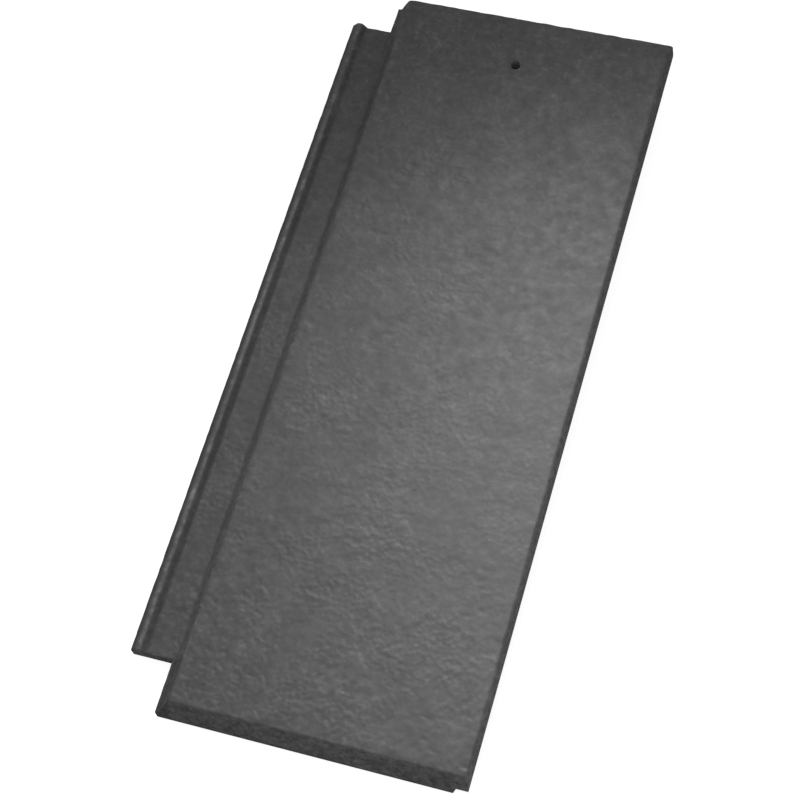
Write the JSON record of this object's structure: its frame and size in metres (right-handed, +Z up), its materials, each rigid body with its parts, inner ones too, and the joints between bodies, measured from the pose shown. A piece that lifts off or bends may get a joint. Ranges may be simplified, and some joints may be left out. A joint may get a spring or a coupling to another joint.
{
  "type": "half roof tile",
  "caption": "Half-width flat interlocking concrete roof tile in charcoal, with a side underlock channel, overlock groove, sloping tail, hanging nibs and a nail hole",
  "frame": {"origin": "bottom centre of the bounding box, on the floor that the tail edge and the two nibs rest on", "axes": "+Y runs from the tail to the head, +X runs across from the underlock to the overlock, +Z is up"},
  "size_m": [0.178, 0.42, 0.0299],
  "materials": {
    "charcoal_concrete": "fine riven charcoal concrete with a slight satin sheen"
  },
  "bodies": {
    "root": {"half_tile": "charcoal_concrete"}
  },
  "joints": []
}
